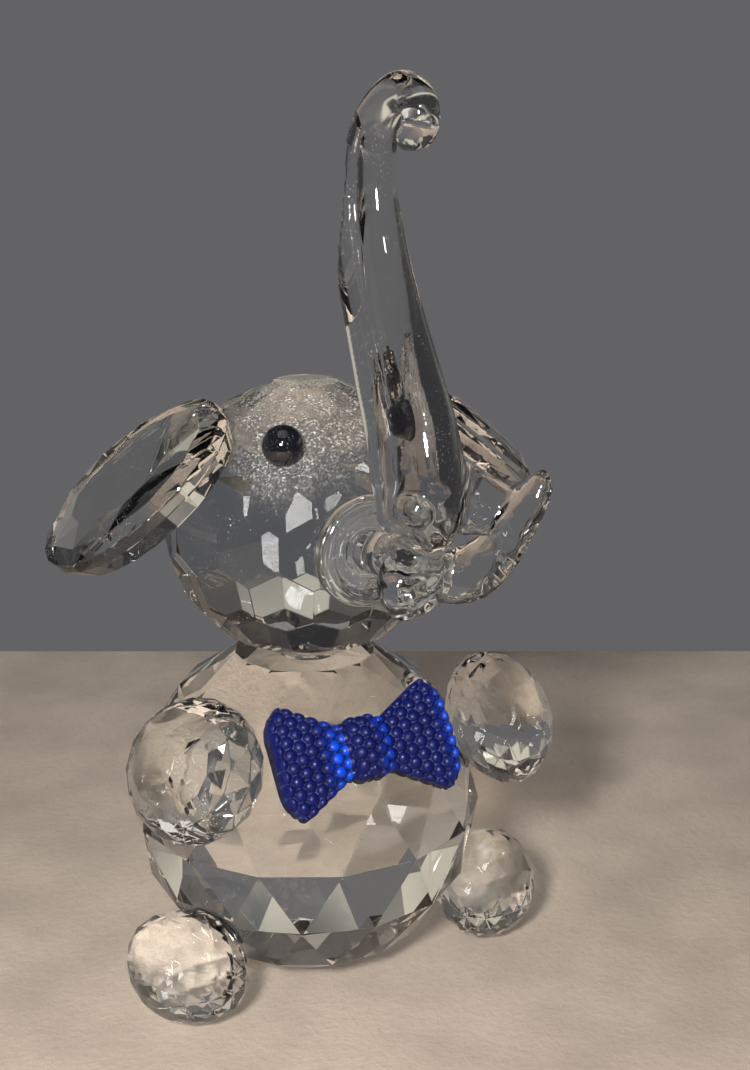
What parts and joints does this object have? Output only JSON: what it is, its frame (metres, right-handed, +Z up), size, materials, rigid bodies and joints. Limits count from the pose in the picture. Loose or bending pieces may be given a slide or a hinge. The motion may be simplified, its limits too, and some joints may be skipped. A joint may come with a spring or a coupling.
{
  "type": "crystal elephant figurine",
  "caption": "Sitting elephant figurine of glued cut glass balls and stones, with a raised hand-drawn glass trunk and a pebbled bow tie.",
  "frame": {"origin": "centre of the ground flat that the body ball stands on", "axes": "+Z up, the elephant faces -Y, its left side is +X"},
  "size_m": [0.0572, 0.0533, 0.1008],
  "materials": {
    "cut_crystal": "cut and polished, clear",
    "lampworked_glass": "flame-polished, clear",
    "black_glass": "glossy black, opaque",
    "blue_resin": "pebbled, glossy, dark blue",
    "clear_adhesive": "clear cured adhesive"
  },
  "bodies": {
    "root": {"body_ball": "cut_crystal", "head_ball": "cut_crystal", "right_ear": "cut_crystal", "left_ear": "cut_crystal", "right_arm": "cut_crystal", "left_arm": "cut_crystal", "right_foot": "cut_crystal", "left_foot": "cut_crystal", "right_eye": "black_glass", "left_eye": "black_glass", "trunk": "lampworked_glass", "bow_tie": "blue_resin", "head_bond": "clear_adhesive", "trunk_bond": "clear_adhesive", "right_ear_bond": "clear_adhesive", "left_ear_bond": "clear_adhesive", "right_eye_bond": "clear_adhesive", "left_eye_bond": "clear_adhesive", "right_arm_bond": "clear_adhesive", "left_arm_bond": "clear_adhesive", "right_foot_bond": "clear_adhesive", "left_foot_bond": "clear_adhesive", "bow_bond": "clear_adhesive"}
  },
  "joints": []
}
